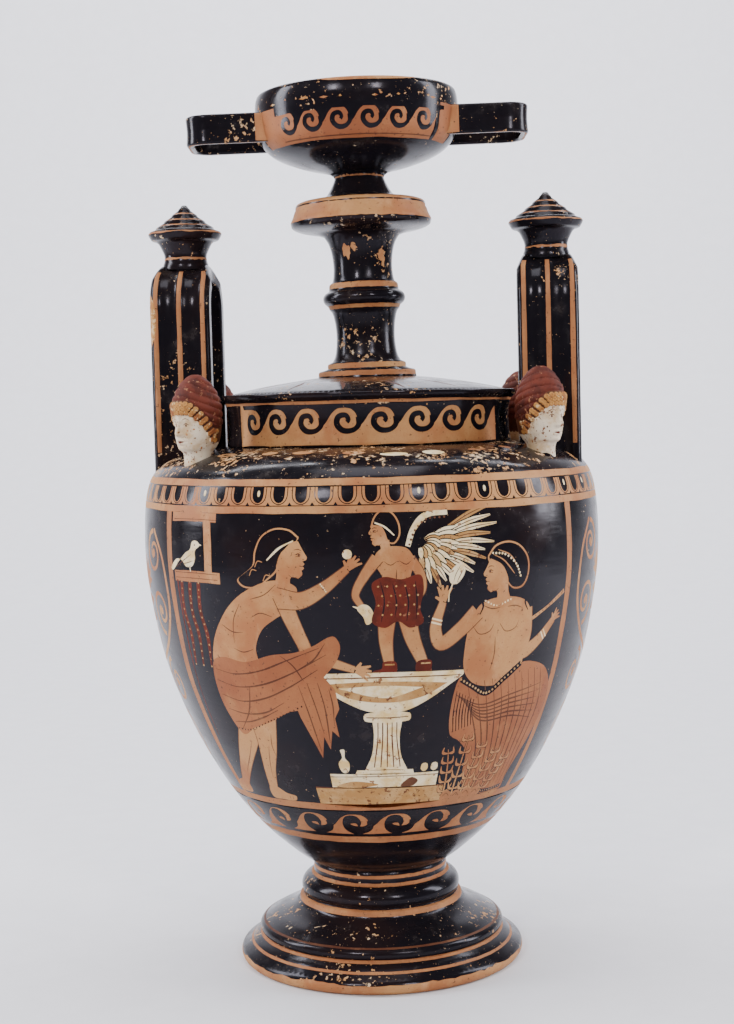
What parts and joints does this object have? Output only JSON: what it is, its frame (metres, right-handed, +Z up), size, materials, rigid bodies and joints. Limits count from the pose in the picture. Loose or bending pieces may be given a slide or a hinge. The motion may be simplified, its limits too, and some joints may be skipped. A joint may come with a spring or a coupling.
{
  "type": "lebes gamikos",
  "caption": "Footed ovoid clay jar with tall crowned loop handles and moulded heads on its shoulder, and a lift-off lid whose stem carries a small handled bowl.",
  "frame": {"origin": "middle of the foot's underside, on the surface that the jar stands on", "axes": "+Z up along the jar's axis; the painted front faces -Y and the two tall handles stand at -X and +X"},
  "size_m": [0.2936, 0.2936, 0.56],
  "materials": {
    "jar_clay": "worn black gloss over orange clay, with reserved and white, yellow and dark red painted figures and patterns",
    "lid_clay": "worn black gloss over orange clay, with reserved bands, lines and wave patterns"
  },
  "bodies": {
    "root": {"body": "jar_clay", "lid": "lid_clay"}
  },
  "joints": []
}
